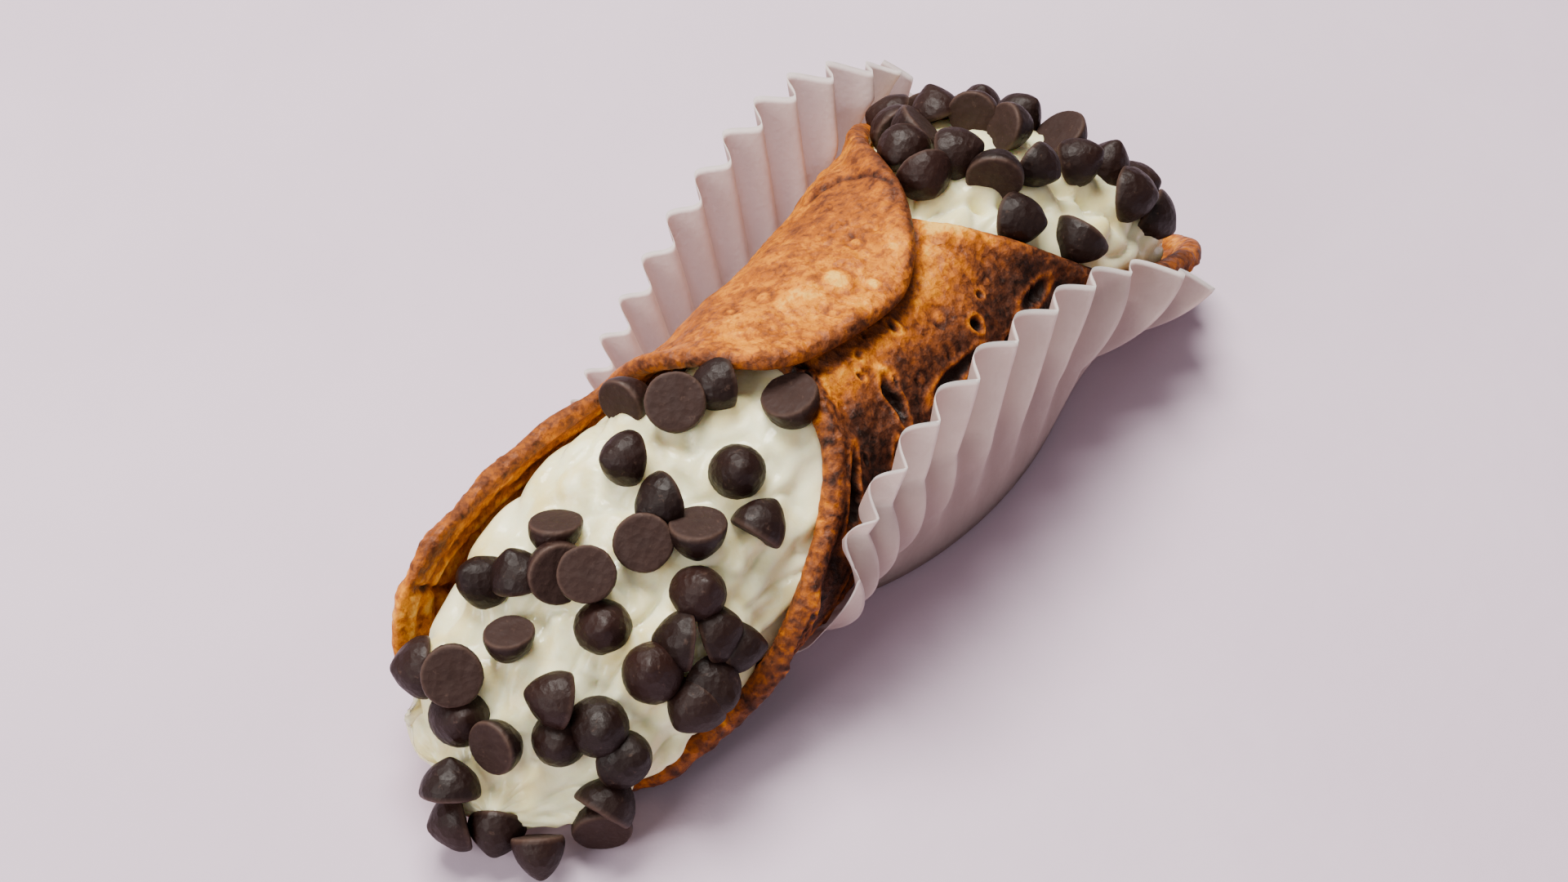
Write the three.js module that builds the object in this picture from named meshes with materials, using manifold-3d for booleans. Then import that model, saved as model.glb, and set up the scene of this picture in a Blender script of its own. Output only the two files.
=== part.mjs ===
// A filled cannolo in a fluted paper case, in millimetres, +Z up.
// +X runs along the pastry from its front mouth (-X) to its back mouth, +Y is its left side.
// The origin lies under the middle of the pastry, on the case's flat base.
import * as THREE from "three";
import { mergeVertices } from "three/addons/utils/BufferGeometryUtils.js";
import Module from "manifold-3d";

// ---- Driving dimensions ----
const DOUGH = 2.0; // thickness of the fried dough
const BORE = 14.4; // radius of the steel tube that the dough was wrapped round
const LAP_GAP = 0.4; // air between the flap and the layer under it
const AXIS_Z = 17.2; // height of the pastry's axis
const CREAM_GAP = 0.6; // keeps the filling's facets off the dough's facets
const TRIM = 0.3; // air kept between the chips and the dough
const PAPER = 0.35; // modelled thickness of the paper
const FLUTES = { left: 19, right: 15 }; // of the two walls
const FLUTE_DEPTH = 1.4; // half the crest-to-valley depth at the rim
const CASE_X = 17; // middle of the case's base along the pastry

const OUTSIDE = BORE + DOUGH;
const wasm = await Module();
wasm.setup();

const rad = THREE.MathUtils.degToRad;
const lerp = THREE.MathUtils.lerp;
const smooth = THREE.MathUtils.smoothstep;
const V = (x, y, z) => new THREE.Vector3(x, y, z);

// ---- Meshes and solids ----

// A closed skin from one end point, through rings of points, to the other end point.
function loft(start, rings, end) {
  const around = rings[0].length;
  const points = [start, ...rings.flat(), end];
  const at = (ring, k) => 1 + ring * around + (k % around);
  const index = [];
  for (let k = 0; k < around; k++) {
    index.push(0, at(0, k), at(0, k + 1));
    for (let r = 0; r + 1 < rings.length; r++) {
      index.push(at(r, k), at(r + 1, k), at(r + 1, k + 1));
      index.push(at(r, k), at(r + 1, k + 1), at(r, k + 1));
    }
    index.push(points.length - 1, at(rings.length - 1, k + 1), at(rings.length - 1, k));
  }
  const geometry = new THREE.BufferGeometry().setFromPoints(points);
  geometry.setIndex(index);
  return geometry;
}

// The geometry as a solid that manifold-3d can join and cut.
function solidOf(geometry) {
  geometry.deleteAttribute("normal");
  geometry.deleteAttribute("uv");
  const merged = mergeVertices(geometry, 1e-4);
  const mesh = new wasm.Mesh({
    numProp: 3,
    vertProperties: merged.attributes.position.array,
    triVerts: new Uint32Array(merged.index.array),
  });
  return new wasm.Manifold(mesh);
}

function geometryOf(solid) {
  const mesh = solid.getMesh();
  const geometry = new THREE.BufferGeometry();
  geometry.setAttribute("position", new THREE.BufferAttribute(mesh.vertProperties, 3));
  geometry.setIndex(new THREE.BufferAttribute(mesh.triVerts, 1));
  return geometry;
}

// ---- The tube that dough and filling both follow ----

// How much wider than the tube each mouth gets on its left and its right side, and the stretch of the
// pastry, as distances from its middle, over which that side opens. The front mouth's left wall curls
// in again at its tip.
const FRONT_OPENING = { left: { by: 0.38, from: 6, to: 36 }, right: { by: 0.08, from: 10, to: 48 } };
const BACK_OPENING = { left: { by: 0.34, from: 12, to: 46 }, right: { by: 0.28, from: 26, to: 58 } };
const CURL = { by: 0.13, from: 38, to: 52 };

function widening(x, y) {
  const mouth = x < 0 ? FRONT_OPENING : BACK_OPENING;
  const side = y > 0 ? mouth.left : mouth.right;
  const curl = x < 0 && y > 0 ? CURL.by * smooth(-x, CURL.from, CURL.to) : 0;
  return 1 + side.by * smooth(Math.abs(x), side.from, side.to) - curl;
}

// A point of the tube. turn is in degrees, from the top down the right side, and a full turn on is 360.
function onTube(x, turn, radius) {
  const y = -radius * Math.sin(rad(turn));
  return V(x, y * widening(x, y), AXIS_Z + radius * Math.cos(rad(turn)));
}

// ---- Shell: one round of dough, wrapped until its left edge laps over its right edge ----

// The dough's edge as [along the tube, turn round it]: from the flap's middle along its back edge,
// round the back mouth to the hidden end under the flap, and home along the front mouth.
const DOUGH_EDGE = [
  [6, 380], [14, 375], [23, 352], [32, 318], [44, 280], [56, 225], [62, 175], [62.5, 142],
  [58, 114], [48, 95], [38.5, 76], [30, 42], [23.5, 8], [18, -25], [6, -45], [-5, -25], [-6.5, 8],
  [-12, 45], [-24, 82], [-32, 112], [-43, 138], [-50, 190], [-52, 250], [-47, 289],
  [-33, 300], [-17, 305], [-13, 335], [-8, 367],
];
const DOUGH_CENTRE = [4, 168];
const EDGE_STEPS = 62;
const DOUGH_RINGS = 10;
const EDGE_REACH = 50; // roughly how far the edge lies from the dough's centre

const edgePoints = DOUGH_EDGE.map(([x, turn]) => V(x, turn, 0));
const edgeCurve = new THREE.CatmullRomCurve3(edgePoints, true, "catmullrom");

// The dough climbs outwards between two turns to pass over its other end, and the climb fades out
// towards both mouths.
const LAP = { turns: [235, 322], frontFade: [8, 40], backFade: [22, 40] };

function lapAt(x, turn) {
  const middle = (1 - smooth(-x, ...LAP.frontFade)) * (1 - smooth(x, ...LAP.backFade));
  return (DOUGH + LAP_GAP) * smooth(turn, ...LAP.turns) * middle;
}

// A point of the dough: step goes round its edge, out from its centre to its edge, depth through it.
function onDough(step, out, depth) {
  const edge = edgeCurve.getPoint(step / EDGE_STEPS);
  const x = lerp(DOUGH_CENTRE[0], edge.x, out);
  const turn = lerp(DOUGH_CENTRE[1], edge.y, out);
  return onTube(x, turn, BORE + lapAt(x, turn) + depth * DOUGH + blister(x, turn) * depth);
}

// Broad bubbles that the hot oil raises on the outside of the dough. The side that it rests on
// has none, so that it stays clear of the paper.
const BLISTER = 0.3;

function blister(x, turn) {
  const rows = Math.sin(0.42 * x + 2.1 * Math.sin(rad(2.6 * turn)));
  const columns = Math.sin(rad(7.3 * turn) + 0.11 * x);
  const below = smooth(-Math.cos(rad(turn)), 0.6, 0.9);
  return BLISTER * rows * columns * (1 - below);
}

function doughRing(out, depth) {
  return Array.from({ length: EDGE_STEPS }, (_, step) => onDough(step, out, depth));
}

// spare is how much thicker than the dough the shape is, on each face, and wider at its edge.
function makeShell(spare = 0) {
  const [inside, outside] = [-spare / DOUGH, 1 + spare / DOUGH];
  const reach = 1 + spare / EDGE_REACH;
  const outs = Array.from({ length: DOUGH_RINGS }, (_, i) => ((i + 1) / DOUGH_RINGS) * 0.985 * reach);
  const outer = outs.map((out) => doughRing(out, outside));
  const rim = doughRing(reach, 0.5);
  const inner = outs.map((out) => doughRing(out, inside)).reverse();
  return loft(onDough(0, 0, outside), [...outer, rim, ...inner], onDough(0, 0, inside));
}

// ---- Filling: fills the bore, and swells out of both mouths ----

// Of each mouth's cream: the arc that its ridge follows along the pastry, the radius of its
// crown across it, and where that crown is centred. heel is where the arc leaves the tube.
const FRONT = { tip: 59.5, heel: 10, nose: 46, arcX: 1, arcZ: -51, arcRadius: 84.2, crown: 21, side: 5 };
const BACK = { tip: 60, heel: 24, nose: 50, arcX: 27, arcZ: -7.5, arcRadius: 40, crown: 17, side: 1 };
const CREAM_SINK = 10.5; // how far the middle of the sections sinks from the axis to either tip
const SKEW = { share: 0.36, from: 40, to: 52 }; // the front mouth is cut askew: its left side reaches further
const OVERHANG = { by: 1.8, from: 49.5, to: 53 }; // the cream swells past the front edge of the dough
const SWELL = { by: 2, over: 8, slope: 0.78 }; // it rises over the bore where a mouth is open at the top
const SOFTEN = 0.7; // rounds the line where the ridge meets the wall
// Two places where the spatula has scraped the cream off the dough: its middle as a distance along
// the pastry and a turn, its half length, its half width in degrees, and its depth.
const HOLLOWS = [
  { x: -36, turn: 284, length: 16, width: 24, depth: 2 },
  { x: 56, turn: 122, length: 9, width: 40, depth: 4 },
];

function hollowAt(x, turn) {
  const depths = HOLLOWS.map((hollow) => {
    const along = (x - hollow.x) / hollow.length;
    const about = (turn - hollow.turn) / hollow.width;
    return hollow.depth * Math.exp(-(along ** 2) - about ** 2);
  });
  return depths[0] + depths[1];
}

// Distance from a point on the plane of a section to a circle round it, along a unit direction.
function reachOf(from, direction, middle, radius) {
  const gap = from.clone().sub(middle);
  const along = gap.dot(direction);
  return -along + Math.sqrt(Math.max(0, along * along - gap.lengthSq() + radius * radius));
}

// The same direction as a turn from 0 to 360.
const wholeTurn = (turn) => THREE.MathUtils.euclideanModulo(turn, 360);

// A point of the cream's skin, at a distance along the pastry and a turn round it.
function onCream(x, turn, share = 1) {
  const mouth = x < 0 ? FRONT : BACK;
  const far = Math.abs(x);
  const direction = new THREE.Vector2(-Math.sin(rad(turn)), Math.cos(rad(turn)));
  const sunk = AXIS_Z - CREAM_SINK * smooth(far, mouth.heel, mouth.tip);
  const from = new THREE.Vector2(0, sunk);
  const overhang = x < 0 ? OVERHANG.by * smooth(far, OVERHANG.from, OVERHANG.to) : 0;
  const risen = smooth(far, mouth.heel, mouth.heel + SWELL.over);
  const swell = SWELL.by * risen * smooth(direction.y, SWELL.slope, 1);
  const lap = lapAt(x, wholeTurn(turn)) * smooth(far, mouth.heel, mouth.heel + SWELL.over / 2);
  const bore = BORE - CREAM_GAP + overhang + swell + lap;
  const wall = reachOf(from, direction, new THREE.Vector2(0, AXIS_Z), bore);
  const ridge = mouth.arcZ + Math.sqrt(mouth.arcRadius ** 2 - (x - mouth.arcX) ** 2);
  const onSide = mouth.side * smooth(far, mouth.heel, mouth.heel + 15);
  const crown = reachOf(from, direction, new THREE.Vector2(onSide, ridge - mouth.crown), mouth.crown);
  const soft = -SOFTEN * Math.log(Math.exp(-wall / SOFTEN) + Math.exp(-crown / SOFTEN));
  const past = Math.max(0, (far - mouth.nose) / (mouth.tip - mouth.nose));
  const reach = (far < mouth.heel ? wall : soft) - hollowAt(x, wholeTurn(turn));
  const radius = share * reach * Math.sqrt(Math.max(0, 1 - past ** 2));
  const y = direction.x * radius;
  const skew = x < 0 ? SKEW.share * smooth(far, SKEW.from, SKEW.to) : 0;
  return V(x - skew * y, y * widening(x, y), sunk + direction.y * radius);
}

function makeCream() {
  const stations = [
    -59, -57.5, -55, -51.5, -47, -42, -36, -30, -24, -18, -13, -9, 0,
    12, 24, 28, 33, 38, 43, 48, 52, 55.5, 58, 59.5,
  ];
  const around = 28;
  const ring = (x) => Array.from({ length: around }, (_, k) => onCream(x, (-360 * k) / around));
  return loft(onCream(-FRONT.tip, 0, 0), stations.map(ring), onCream(BACK.tip, 0, 0));
}

// ---- Case: a round fluted paper case, pressed into a boat by the pastry ----

const BASE_HALF = { x: 31, y: 17 };
const RIM_HALF_X = 41.3;
const RIM_SHIFT_X = 5.1;
const HUG = 18.3; // radius at which the paper follows the pastry from below
// Of each wall: how far its rim rises past the pastry's axis, what share higher it is at the back
// end than at the middle, how much it leans out for each unit that it rises, how quickly it comes
// down towards the ends of the case, and how much quicker it does so at the back end.
const LEFT_WALL = { rise: 12.2, climb: 0.35, lean: 0.78, drop: 0.49, backDrop: 0.34 };
const RIGHT_WALL = { rise: 14.8, climb: -1.03, lean: 0.06, drop: 0.62, backDrop: 0.2 };
const BASE_SHARE = 0.36; // of the way from the case's centre to its rim
const END_TUCK = 0.25; // share of the width within which the rim drops flat at the case's two ends
const PAPER_GAP = 0.6; // air between the dough and the paper's nearest crest

// A point of the rim: the paper goes round under the pastry's side, then up. reach is the way along it.
function rimPoint(angle) {
  const wall = Math.sin(angle) > 0 ? LEFT_WALL : RIGHT_WALL;
  const quarter = (HUG * Math.PI) / 2;
  const height = quarter + wall.rise * (1 + wall.climb * Math.cos(angle));
  const off = Math.abs(Math.sin(angle));
  const share = off ** (wall.drop + wall.backDrop * Math.cos(angle));
  const reach = height * share * Math.sqrt(Math.min(1, off / END_TUCK));
  const rise = Math.max(0, reach - quarter);
  const bend = Math.min(reach, quarter) / HUG;
  const y = Math.sign(Math.sin(angle)) * (HUG * Math.sin(bend) + wall.lean * rise);
  return V(CASE_X + RIM_SHIFT_X + RIM_HALF_X * Math.cos(angle), y, AXIS_Z - HUG * Math.cos(bend) + rise);
}

// The least radius, from the pastry's axis, that keeps the paper off the dough.
function clearOf(point) {
  const turn = wholeTurn(THREE.MathUtils.radToDeg(Math.atan2(-point.y, point.z - AXIS_Z)));
  return OUTSIDE + lapAt(point.x, turn) + PAPER_GAP;
}

// The angle round the case of a place counted in flutes, from its back end round by the left wall.
function fluteAngle(flute) {
  const past = flute - FLUTES.left;
  return Math.PI * (past < 0 ? flute / FLUTES.left : 1 + past / FLUTES.right);
}

// A point of the paper: flute goes round the case, out from its centre to its rim, lift through it.
function onPaper(flute, out, lift) {
  const angle = fluteAngle(flute);
  const foot = V(CASE_X + BASE_HALF.x * Math.cos(angle), BASE_HALF.y * Math.sin(angle), 0);
  if (out <= BASE_SHARE) return V(lerp(CASE_X, foot.x, out / BASE_SHARE), foot.y * (out / BASE_SHARE), lift);
  const up = (out - BASE_SHARE) / (1 - BASE_SHARE);
  const point = foot.lerp(rimPoint(angle), up);
  const depth = FLUTE_DEPTH * smooth(up, 0, 1) * smooth(point.z, 0.5, 7);
  const wide = widening(point.x, point.y);
  const from = V(0, point.y / wide, point.z - AXIS_Z);
  const least = clearOf(V(point.x, from.y, point.z)) + PAPER + depth;
  if (from.length() < least && point.z > 0.5) from.setLength(least);
  const away = V(0, from.y, Math.min(from.z, 0)).normalize();
  const wave = depth * Math.sin(2 * Math.PI * flute);
  from.addScaledVector(away, wave - (lift - PAPER / 2) * smooth(up, 0, 0.15));
  return V(point.x, from.y * wide, Math.max(from.z + AXIS_Z, lift));
}

function makeCase() {
  const around = (FLUTES.left + FLUTES.right) * 4;
  const outs = [0.18, 0.36, 0.45, 0.57, 0.71, 0.86, 1];
  const ring = (out, lift) =>
    Array.from({ length: around }, (_, k) => onPaper((k + 0.5) / 4, out, lift));
  const over = outs.map((out) => ring(out, PAPER));
  const under = outs.map((out) => ring(out, 0)).reverse();
  return loft(V(CASE_X, 0, PAPER), [...over, ...under], V(CASE_X, 0, 0));
}

// ---- Chips: chocolate drops, flat below and peaked above, sunk into the cream ----

// The front mouth's chips, as [along, turn, tip, heading, lift]. tip is how far the peak leans from
// straight up, so 180 is flat side up. heading is where it leans, from +X towards +Y. lift is how
// far the chip's middle stands off the cream.
const FRONT_CHIPS = [
  [-18, -37, 100, 0, 1.4], [-17, -18, 145, 35, 1.8], [-13, -12, 80, 150, 1.6], [-9, 17, 165, -60, 1.6],
  [-25, -21, 65, 150, 1.2], [-19, 18, 38, -140, 1.2], [-27, -2, 80, 160, 1.0], [-27, 20, 165, -140, 1.6],
  [-21, 40, 60, 0, 1.4], [-31, 2, 140, 40, 1.0], [-35, -25, 156, -140, 1.0], [-38, -19, 120, 60, 1.2],
  [-37, -7, 142, 40, 2.6], [-42, -41, 35, 160, 1.4], [-40, -30, 30, 60, 1.4], [-45.5, -24, 165, -120, 1.6],
  [-40, 8, 40, -140, 0.8], [-31, 36, 25, -90, 2.2], [-36, 42, 80, 130, 1.0], [-32, 57, 70, -50, 1.0],
  [-36, 72, 75, -100, 1.2], [-39, 71, 100, 180, 0.4], [-40, 42, 40, -140, 1.6], [-31, 70, 90, -50, 0.6],
  [-49, -58, 85, 130, 1.2], [-49, -42, 135, 45, 2.4], [-52, -44, 40, -140, 0.2], [-53, -18, 110, -5, 1.4],
  [-48, 4, 70, 130, 1.6], [-51, 26, 60, -140, 0.8], [-48, 40, 40, -140, 1.8], [-49, 68, 60, -90, 1.2],
  [-57, -66, 40, 35, 2.0], [-58.5, -110, 95, 140, 1.8], [-58.5, 168, 110, -150, 0.9],
  [-57.8, 109, 130, -140, 3.0], [-53.5, 104, 86, 40, 1.2], [-53, 90, 60, 0, 0.4],
];
// The back mouth's chips on the side that is open to the front. They leave a bare band of cream
// along the right rim.
const BACK_CHIPS = [
  [43, -50, 70, 120, 2.0], [41.5, -27, 50, 60, 1.8], [43, -15, 110, 20, 1.8], [35, -25, 130, 150, 1.6],
  [31, -24, 75, -160, 1.4], [33.5, -6, 60, -60, 1.8], [28, -9, 95, -120, 1.4], [34, 8, 90, 30, 1.6],
  [49, -9, 40, -60, 1.4], [43, -3, 120, -30, 1.8], [39, 15, 100, -90, 1.6], [45.5, 19, 60, -60, 1.6],
  [49, 7, 150, -60, 0.8], [51, 23, 30, -20, 1.2], [53, 36, 70, -60, 1.2], [51.5, 50, 110, -80, 0.8],
  [48.5, 38, 80, -70, 1.8], [31.5, 28, 75, -80, 1.2], [37, 47, 110, 180, 0.8], [37.5, -37, 100, 60, 1.8],
];
const CHIP = { radius: 3.4, height: 4.7, middle: 1.7 };
const CHIP_PROFILE = [[0, 0], [1, 0], [0.82, 0.5], [0, 1]]; // shares of radius and height
const CHIP_SIDES = 7;
// Rows of chips on the far side and over the end, as [along, first turn, last turn].
const SCATTER = [[40, -66, -56], [45, -84, -62], [51, -92, -24], [54.5, -108, 14], [58, -120, 80]];
const APART = 5.6;
const SEED = 11;

// A seeded random draw from 0 to 1.
function makeDraw(seed) {
  let state = seed;
  return () => {
    state = (state * 16807) % 2147483647;
    return state / 2147483647;
  };
}

function scatteredChips() {
  const draw = makeDraw(SEED);
  return SCATTER.flatMap(([x, first, last]) => {
    const girth = onCream(x, 0).distanceTo(onCream(x, 0, 0));
    const step = Math.min(90, (APART / girth) / rad(1));
    const chips = [];
    for (let turn = first + (step * draw()) / 2; turn < last; turn += step) {
      chips.push([x + 2 * draw() - 1, turn + 8 * draw() - 4, 150 * draw(), 360 * draw(), draw() - 0.4]);
    }
    return chips;
  });
}

function chipSolid([x, turn, tip, heading, lift]) {
  const section = ([r, h]) => new THREE.Vector2(r * CHIP.radius, h * CHIP.height - CHIP.middle);
  const drop = new THREE.LatheGeometry(CHIP_PROFILE.map(section), CHIP_SIDES);
  const peak = V(Math.cos(rad(heading)), Math.sin(rad(heading)), 0).multiplyScalar(Math.sin(rad(tip)));
  peak.setZ(Math.cos(rad(tip)));
  drop.applyQuaternion(new THREE.Quaternion().setFromUnitVectors(V(0, 1, 0), peak));
  const place = onCream(x, turn);
  const along = onCream(x + 0.5, turn).sub(onCream(x - 0.5, turn));
  const round = onCream(x, turn + 2).sub(onCream(x, turn - 2));
  place.addScaledVector(round.cross(along).normalize(), lift);
  return solidOf(drop.translate(place.x, place.y, place.z));
}

const material = (color, roughness) => new THREE.MeshStandardMaterial({ color, roughness, metalness: 0 });

function piece(name, geometry, finish) {
  const mesh = new THREE.Mesh(geometry, finish);
  mesh.name = name;
  return mesh;
}

// The cream with its chips, trimmed back from the dough so that the two pieces don't touch.
function makeFilling() {
  const chips = [...FRONT_CHIPS, ...BACK_CHIPS, ...scatteredChips()].map(chipSolid);
  const whole = chips.reduce((sum, chip) => sum.add(chip), solidOf(makeCream()));
  const pieces = whole.subtract(solidOf(makeShell(TRIM))).decompose();
  return geometryOf(pieces.sort((a, b) => b.volume() - a.volume())[0]);
}

const cannolo = new THREE.Group();
cannolo.add(piece("shell", makeShell(), material(0xb5702f, 0.6)));
cannolo.add(piece("filling", makeFilling(), material(0xf3ecd8, 0.45)));
cannolo.add(piece("paper_case", makeCase(), material(0xcfc6c4, 0.8)));
export default cannolo;
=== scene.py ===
# %% [markdown]
# # A filled cannolo in its paper case
# A cannolo is a round of dough, wrapped about a steel tube until one edge laps over the other, and
# fried. Ricotta cream is piped into it from both ends, and its two mouths are dipped in chocolate
# drops. It is sold lying in a fluted paper case. The frame that is loaded here holds the plain
# solids at their real size. This lesson makes the finished pieces in the same places.

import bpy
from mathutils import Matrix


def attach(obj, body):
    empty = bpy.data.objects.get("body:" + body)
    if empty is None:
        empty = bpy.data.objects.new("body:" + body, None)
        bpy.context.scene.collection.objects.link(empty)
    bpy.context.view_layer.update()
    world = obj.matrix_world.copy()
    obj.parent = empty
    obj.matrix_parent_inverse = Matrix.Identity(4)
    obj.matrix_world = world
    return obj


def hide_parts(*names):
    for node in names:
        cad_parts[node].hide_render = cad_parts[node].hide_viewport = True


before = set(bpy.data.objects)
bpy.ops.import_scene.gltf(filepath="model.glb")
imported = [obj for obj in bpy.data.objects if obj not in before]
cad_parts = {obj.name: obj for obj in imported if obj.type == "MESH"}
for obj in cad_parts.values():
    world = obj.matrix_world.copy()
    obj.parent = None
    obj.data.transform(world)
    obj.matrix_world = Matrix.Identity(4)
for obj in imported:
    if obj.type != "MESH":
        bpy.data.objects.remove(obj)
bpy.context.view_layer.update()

# %% Tools for the whole lesson
import math
import random

import bpy
import numpy as np
from mathutils import Matrix, Vector, kdtree, noise

MM = 0.001  # the formulas count in millimetres, and Blender in metres


def smooth(value, low, high):
    """0 below low, 1 above high, and an even rise between them."""
    share = np.clip((value - low) / (high - low), 0, 1)
    return share * share * (3 - 2 * share)


def mix(low, high, share):
    return low + (high - low) * share


def bump(value, middle, width):
    """1 at the middle, and fading away over the width on both sides."""
    return np.exp(-(((value - middle) / width) ** 2))


# %% [markdown]
# ## Small helpers
# Operators act on whatever is selected, so each primitive starts from an empty selection. A mesh's
# points are read and written as one array of millimetres, which makes a long formula one line.
# Noise gives the unevenness that a hand or hot oil leaves. It depends on the place alone, so it is
# the same on each run.

# %% Helpers for meshes
def start_piece(name, add, **options):
    """Adds a primitive on its own, and returns it under its name."""
    bpy.ops.object.select_all(action="DESELECT")
    add(**options)
    piece = bpy.context.object
    piece.name = piece.data.name = name
    return piece


def points_of(piece):
    points = np.empty(len(piece.data.vertices) * 3)
    piece.data.vertices.foreach_get("co", points)
    return points.reshape(-1, 3) / MM


def move_points(piece, points):
    piece.data.vertices.foreach_set("co", (points * MM).ravel())
    piece.data.update()


def normals_of(piece):
    normals = np.empty(len(piece.data.vertices) * 3)
    piece.data.vertex_normals.foreach_get("vector", normals)
    return normals.reshape(-1, 3)


def paint(piece, name, values):
    """Keeps one number for each point, for the material to read."""
    layer = piece.data.attributes.get(name) or piece.data.attributes.new(name, "FLOAT", "POINT")
    layer.data.foreach_set("value", np.asarray(values, dtype=np.float32))


def painted(piece, name):
    values = np.empty(len(piece.data.vertices), dtype=np.float32)
    piece.data.attributes[name].data.foreach_get("value", values)
    return values.astype(float)


def unevenness(points, grain, shift=0.0):
    """Noise from -1 to 1, with grain as the size of its lumps in millimetres along X, Y and Z."""
    scaled = points / np.array(grain) + shift
    return np.array([noise.noise(Vector(place)) for place in scaled])


def creases(points, grain, shift, width=0.16):
    """1 on thin curved lines and 0 between them: the places where the noise changes its sign."""
    return np.clip(1 - np.abs(unevenness(points, grain, shift)) / width, 0, 1)


def make_tree(places):
    """A tree that finds the nearest of the places quickly."""
    tree = kdtree.KDTree(len(places))
    for number, place in enumerate(places):
        tree.insert(place, number)
    tree.balance()
    return tree


def apply_modifier(piece, kind, **settings):
    bpy.context.view_layer.objects.active = piece
    modifier = piece.modifiers.new(kind.title(), kind)
    for setting, value in settings.items():
        setattr(modifier, setting, value)
    bpy.ops.object.modifier_apply(modifier=modifier.name)


def hand_over(piece, node):
    """The finished piece stands for its node, whose plain solid is hidden, and rides on the body."""
    piece.data.shade_smooth()
    if node:
        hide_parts(node)
    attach(piece, "root")
    triangles = sum(len(face.vertices) - 2 for face in piece.data.polygons)
    print(piece.name, triangles, "triangles")


# %% [markdown]
# ## The tube
# Dough, cream and paper all follow one tube, so its measures come first. A place on it is a
# distance along the pastry and a turn about it, in degrees from the top down the right side. Both
# mouths open a little wider than the tube, as the dough springs away from the steel in the oil.

# %% Measures of the tube
DOUGH = 2.0  # thickness of the fried dough
BORE = 14.4  # radius of the steel tube
LAP_GAP = 0.4  # air between the flap and the layer under it
AXIS_Z = 17.2  # height of the pastry's axis
OUTSIDE = BORE + DOUGH
# how much wider each mouth's sides are, and over which stretch
FRONT_OPENING = dict(left=(0.38, 6, 36), right=(0.08, 10, 48))
BACK_OPENING = dict(left=(0.34, 12, 46), right=(0.28, 26, 58))
CURL = (0.13, 38, 52)  # the front mouth's left wall curls in again at its tip
LAP_TURNS = (235, 322)  # the dough climbs over its other end between these turns
LAP_FRONT_FADE = (8, 40)
LAP_BACK_FADE = (22, 40)


def widening(x, y):
    """How many times wider than the tube the pastry is there."""
    def of(opening):
        sides = (opening["left"], opening["right"])
        left, right = (by * smooth(np.abs(x), start, end) for by, start, end in sides)
        return np.where(y > 0, left, right)

    curl = np.where((x < 0) & (y > 0), CURL[0] * smooth(-x, *CURL[1:]), 0)
    return 1 + np.where(x < 0, of(FRONT_OPENING), of(BACK_OPENING)) - curl


def on_tube(x, turn, radius):
    """A place by its distance along, its turn and its distance from the axis."""
    y = -radius * np.sin(np.radians(turn))
    return np.stack([x, y * widening(x, y), AXIS_Z + radius * np.cos(np.radians(turn))], axis=-1)


def lap_at(x, turn):
    """How far the dough has climbed outwards to pass over its other end."""
    middle = (1 - smooth(-x, *LAP_FRONT_FADE)) * (1 - smooth(x, *LAP_BACK_FADE))
    return (DOUGH + LAP_GAP) * smooth(turn, *LAP_TURNS) * middle


print("tube:", 2 * OUTSIDE, "mm across the outside")

# %% [markdown]
# ## Rolling out the dough
# The shell starts as the baker's does: a flat sheet, cut to a round. A grid is the sheet. Its square
# is eased into a disc, and the disc's edge onto the cut edge, so that its cells stay even. Laid out
# flat, X runs along the pastry and Y about it. The Solidify modifier gives the sheet its thickness
# while it is flat, where a thickness is simple. The cells are finer towards the edge, since the
# middle of the sheet becomes the underside, and nothing of it shows.

# %% Roll out and cut the dough
DOUGH_EDGE = np.array([  # along the pastry, and the turn about it
    [6, 380], [14, 375], [23, 352], [32, 318], [44, 280], [56, 225], [62, 175], [62.5, 142],
    [58, 114], [48, 95], [38.5, 76], [30, 42], [23.5, 8], [18, -25], [6, -45], [-5, -25], [-6.5, 8],
    [-12, 45], [-24, 82], [-32, 112], [-43, 138], [-50, 190], [-52, 250], [-47, 289],
    [-33, 300], [-17, 305], [-13, 335], [-8, 367],
])
DOUGH_CENTRE = np.array([4, 168])
DOUGH_CELLS = 290
COARSER_MIDDLE = 0.72  # below 1, the cells grow towards the middle of the sheet
EDGE_FINENESS = 0.45  # how much closer together they are at the very edge
FINE_EDGE = 12  # the higher, the narrower the strip of finer cells
RIM_STEPS = 2400  # places on the cut edge that distances are measured from
ARC = math.radians(OUTSIDE)  # millimetres of dough in a degree of turn


def cut_edge(share):
    """The smooth closed curve through the edge's points, for a share of the way round it."""
    count = len(DOUGH_EDGE)
    place = share * count
    first = np.floor(place).astype(int)
    before, start, end, after = (DOUGH_EDGE[(first + step) % count] for step in (-1, 0, 1, 2))
    t = (place - first)[:, None]
    leave, arrive = (end - before) / 2, (after - start) / 2
    return (
        (2 * t**3 - 3 * t**2 + 1) * start + (t**3 - 2 * t**2 + t) * leave
        + (3 * t**2 - 2 * t**3) * end + (t**3 - t**2) * arrive
    )


def square_to_disc(u, v):
    """The distance from the centre and the share of a whole turn, for a place in the square."""
    out = np.maximum(np.abs(u), np.abs(v))
    wide = np.abs(u) >= np.abs(v)
    safe = np.where(out > 0, out, 1)
    slope = np.where(wide, v, u) / safe
    quarter = np.where(wide, np.where(u > 0, 0, 4), np.where(v > 0, 2, 6))
    lean = np.where(wide, np.where(u > 0, slope, -slope), np.where(v > 0, -slope, slope))
    return out, ((quarter + lean) / 8) % 1


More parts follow.
